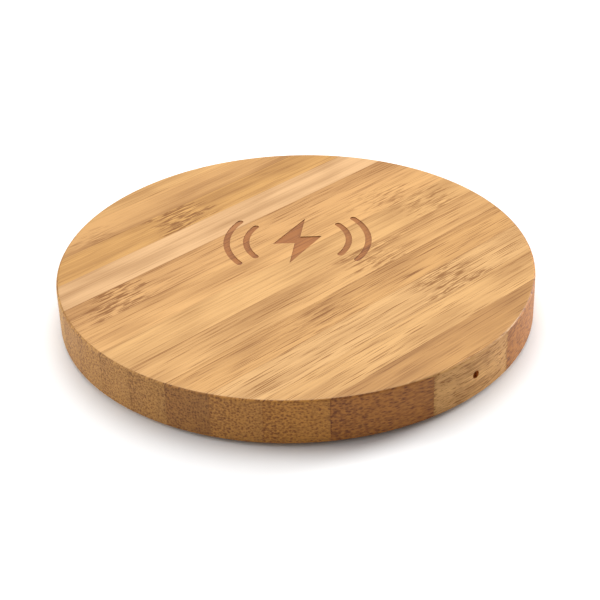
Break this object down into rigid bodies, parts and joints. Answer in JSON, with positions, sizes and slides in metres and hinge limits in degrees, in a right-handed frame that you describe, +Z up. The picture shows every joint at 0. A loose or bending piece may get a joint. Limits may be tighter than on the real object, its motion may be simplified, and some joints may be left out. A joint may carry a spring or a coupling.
{
  "type": "wireless charging pad",
  "caption": "Thin round wireless charging pad: laminated bamboo disc with an engraved charging sign, a status light hole in the rim, a USB inlet opposite, and coil and circuit board inside.",
  "frame": {"origin": "centre of the pad on the surface that it stands on", "axes": "+X along the bamboo's grain, +Y towards the USB inlet (the status light is at -Y), +Z up, out of the charging face"},
  "size_m": [0.095, 0.095, 0.01],
  "materials": {
    "bamboo": "sanded laminated bamboo with a thin satin oil",
    "black_plastic": "fine moulded texture",
    "rubber": "matt silicone",
    "zinc_steel": "zinc plated",
    "board_laminate": "green solder mask on glass-fibre laminate",
    "adhesive_tape": "pale transfer tape",
    "copper_wire": null,
    "ferrite": "pressed and sintered, matt grey",
    "foam": "closed-cell foam",
    "tinned_steel": "tin plated",
    "port_plastic": "moulded",
    "gold_contact": "gold plated",
    "clear_acrylic": "clear moulded acrylic",
    "led_resin": "diffusing resin",
    "chip_resin": "moulded epoxy",
    "ceramic": "fired ceramic",
    "tantalum": "moulded yellow case",
    "resistor_body": "glass-coated film"
  },
  "bodies": {
    "root": {"bamboo_casing": "bamboo", "base_plate": "black_plastic", "base_screw_1": "zinc_steel", "base_screw_2": "zinc_steel", "base_screw_3": "zinc_steel", "base_screw_4": "zinc_steel", "board_screw_1": "zinc_steel", "board_screw_2": "zinc_steel", "board_screw_3": "zinc_steel", "ceramic_capacitor_1": "ceramic", "ceramic_capacitor_2": "ceramic", "ceramic_capacitor_3": "ceramic", "ceramic_capacitor_4": "ceramic", "charging_coil": "copper_wire", "circuit_board": "board_laminate", "coil_lead_1": "copper_wire", "coil_lead_2": "copper_wire", "coil_tape": "adhesive_tape", "controller": "chip_resin", "crystal": "tinned_steel", "driver_1": "chip_resin", "driver_2": "chip_resin", "ferrite_shield": "ferrite", "foot_1": "rubber", "foot_2": "rubber", "foot_3": "rubber", "foot_4": "rubber", "input_capacitor_1": "tantalum", "input_capacitor_2": "tantalum", "light_pipe": "clear_acrylic", "port_contact_1": "gold_contact", "port_contact_2": "gold_contact", "port_contact_3": "gold_contact", "port_contact_4": "gold_contact", "port_contact_5": "gold_contact", "port_insulator": "port_plastic", "port_shell": "tinned_steel", "resistor_1": "resistor_body", "resistor_2": "resistor_body", "resistor_3": "resistor_body", "resistor_4": "resistor_body", "resonant_capacitor_1": "ceramic", "resonant_capacitor_2": "ceramic", "resonant_capacitor_3": "ceramic", "resonant_capacitor_4": "ceramic", "sense_resistor": "resistor_body", "status_led": "led_resin", "support_foam": "foam"}
  },
  "joints": []
}
